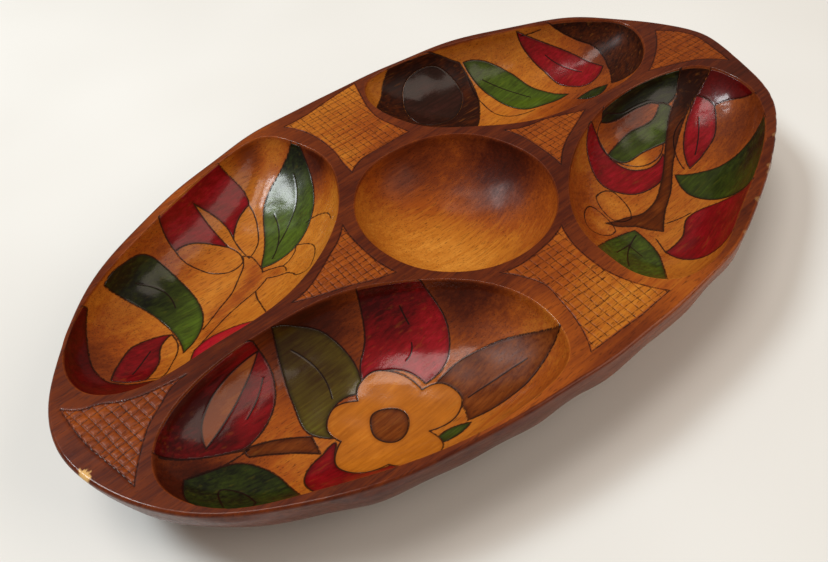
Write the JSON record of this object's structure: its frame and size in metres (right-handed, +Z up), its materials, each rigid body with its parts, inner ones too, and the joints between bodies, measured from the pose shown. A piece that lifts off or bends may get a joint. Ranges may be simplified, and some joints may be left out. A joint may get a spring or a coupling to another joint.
{
  "type": "carved painted divided serving dish",
  "caption": "Oval carved hardwood serving dish with a round well, long painted wells and cross-hatched panels, for snacks or relish.",
  "frame": {"origin": "under the middle of the foot, on the table", "axes": "+X along the dish, +Y across it, +Z up"},
  "size_m": [0.42, 0.2365, 0.05],
  "materials": {
    "black_paint": "near-black brown stain under gloss varnish",
    "brown_paint": "thin dark brown stain under gloss varnish",
    "dark_red_paint": "thin transparent dark red paint under gloss varnish",
    "green_paint": "thin transparent leaf green paint under gloss varnish",
    "red_paint": "thin transparent red paint under gloss varnish",
    "stained_hardwood": "dark brown oil stain under a glossy clear varnish, hand carved",
    "yellow_paint": "thin golden yellow tint under gloss varnish"
  },
  "bodies": {
    "root": {"dish": "stained_hardwood", "front_bract_green": "green_paint", "front_centre_leaf_green": "green_paint", "front_dark_leaf_green": "green_paint", "front_flower_core_brown": "brown_paint", "front_flower_yellow": "yellow_paint", "front_leaf_brown": "brown_paint", "front_left_petal_red": "red_paint", "front_root_red": "red_paint", "front_stem_brown": "brown_paint", "front_upper_petal_red": "red_paint", "left_bud_red": "red_paint", "left_corner_dark_red": "dark_red_paint", "left_foot_strip_red": "red_paint", "left_low_leaf_green": "green_paint", "left_tall_leaf_green": "green_paint", "left_tulip_red": "red_paint", "rear_end_brown": "brown_paint", "rear_fruit_brown": "brown_paint", "rear_fruit_core_black": "black_paint", "rear_leaf_green": "green_paint", "rear_petal_red": "red_paint", "rear_small_leaf_green": "green_paint", "right_crescent_green": "green_paint", "right_crescent_red": "red_paint", "right_low_leaf_green": "green_paint", "right_low_petal_red": "red_paint", "right_pink_petal_red": "red_paint", "right_stem_brown": "brown_paint", "right_top_dark_red": "dark_red_paint", "right_wall_leaf_green": "green_paint", "right_wrap_leaf_green": "green_paint"}
  },
  "joints": []
}
